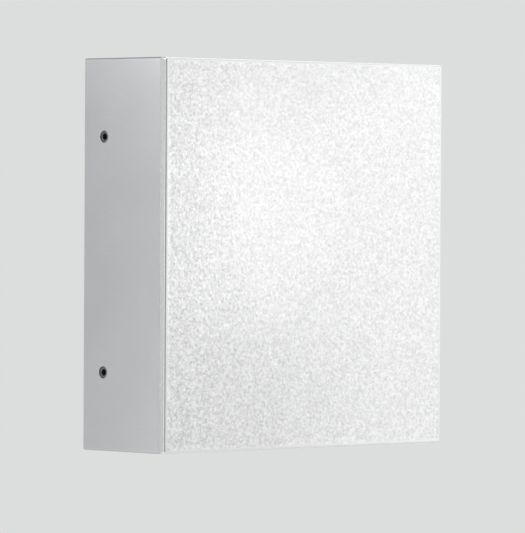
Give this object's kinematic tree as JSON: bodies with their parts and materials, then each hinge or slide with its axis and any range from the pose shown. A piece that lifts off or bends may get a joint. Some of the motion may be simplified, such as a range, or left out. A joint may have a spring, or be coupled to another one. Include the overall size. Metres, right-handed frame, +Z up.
{
  "type": "wall lantern",
  "caption": "Square outdoor wall light: an aluminium housing with a full-face white structured glass slides over a cast base and is held by side grub screws.",
  "frame": {"origin": "middle of the base's rear face, which lies on the wall", "axes": "+Y into the wall, so the glass faces -Y; +Z up; +X to the right when facing the wall"},
  "size_m": [0.26, 0.08, 0.26],
  "materials": {
    "housing_aluminium": "satin brushed, clear anodised",
    "white_glass": "white, finely structured",
    "silicone": "matte",
    "grub_steel": "plain stainless, turned",
    "cast_aluminium": "die-cast aluminium, bead blasted",
    "seal_rubber": "matte",
    "terminal_plastic": "moulded",
    "contact_brass": "satin",
    "zinc_steel": "zinc plated",
    "lever_plastic": "moulded",
    "tinned_copper": "tinned",
    "driver_plastic": "moulded",
    "circuit_board": "lacquered",
    "transformer_tape": "polyester tape over ferrite",
    "capacitor_sleeve": "sleeved",
    "white_steel": "white powder coat",
    "thermal_foam": "soft",
    "white_board": "white solder mask on aluminium",
    "phosphor": "silicone with phosphor",
    "wire_brown": "extruded",
    "wire_blue": "extruded",
    "wire_green_yellow": "extruded, two-colour",
    "wire_red": "extruded",
    "wire_black": "extruded"
  },
  "bodies": {
    "base": {"base_plate": "cast_aluminium", "base_seal": "seal_rubber", "cable_grommet_left": "seal_rubber", "cable_grommet_right": "seal_rubber", "terminal_block": "terminal_plastic", "terminal_contacts": "contact_brass", "terminal_screws": "zinc_steel", "terminal_pin": "zinc_steel", "earth_stud": "zinc_steel", "earth_lug": "tinned_copper", "earth_nut": "zinc_steel", "driver_case": "driver_plastic", "driver_lid": "driver_plastic", "driver_board": "circuit_board", "driver_transformer": "transformer_tape", "driver_capacitors": "capacitor_sleeve", "driver_screws": "zinc_steel", "led_tray": "white_steel", "tray_bush": "seal_rubber", "thermal_pad": "thermal_foam", "led_board": "white_board", "led_chips": "phosphor", "board_connector": "terminal_plastic", "board_screws": "zinc_steel", "reflector": "white_steel", "tray_screws": "zinc_steel", "lead_live": "wire_brown", "lead_neutral": "wire_blue", "lead_earth": "wire_green_yellow", "lead_plus": "wire_red", "lead_minus": "wire_black"},
    "cover": {"housing_frame": "housing_aluminium", "front_glass": "white_glass", "glass_bond": "silicone"},
    "grub_upper_left": {"grub_screw_upper_left": "grub_steel"},
    "grub_lower_left": {"grub_screw_lower_left": "grub_steel"},
    "grub_upper_right": {"grub_screw_upper_right": "grub_steel"},
    "grub_lower_right": {"grub_screw_lower_right": "grub_steel"},
    "lever_live": {"terminal_lever_live": "lever_plastic"},
    "lever_neutral": {"terminal_lever_neutral": "lever_plastic"},
    "lever_earth": {"terminal_lever_earth": "lever_plastic"}
  },
  "joints": [
    {"name": "cover_slide", "type": "slide", "parent": "base", "child": "cover", "axis": [0, -1, 0], "range_m": [0, 0.12]},
    {"name": "grub_upper_left_out", "type": "slide", "parent": "cover", "child": "grub_upper_left", "axis": [-1, 0, 0], "range_m": [0, 0.004]},
    {"name": "grub_lower_left_out", "type": "slide", "parent": "cover", "child": "grub_lower_left", "axis": [-1, 0, 0], "range_m": [0, 0.004]},
    {"name": "grub_upper_right_out", "type": "slide", "parent": "cover", "child": "grub_upper_right", "axis": [1, 0, 0], "range_m": [0, 0.004]},
    {"name": "grub_lower_right_out", "type": "slide", "parent": "cover", "child": "grub_lower_right", "axis": [1, 0, 0], "range_m": [0, 0.004]},
    {"name": "lever_live_hinge", "type": "hinge", "parent": "base", "child": "lever_live", "pos_m": [0.0926, -0.0202, -0.047], "axis": [-1, 0, 0], "range_deg": [0, 85]},
    {"name": "lever_neutral_hinge", "type": "hinge", "parent": "base", "child": "lever_neutral", "pos_m": [0.101, -0.0202, -0.047], "axis": [-1, 0, 0], "range_deg": [0, 85]},
    {"name": "lever_earth_hinge", "type": "hinge", "parent": "base", "child": "lever_earth", "pos_m": [0.1094, -0.0202, -0.047], "axis": [-1, 0, 0], "range_deg": [0, 85]}
  ]
}
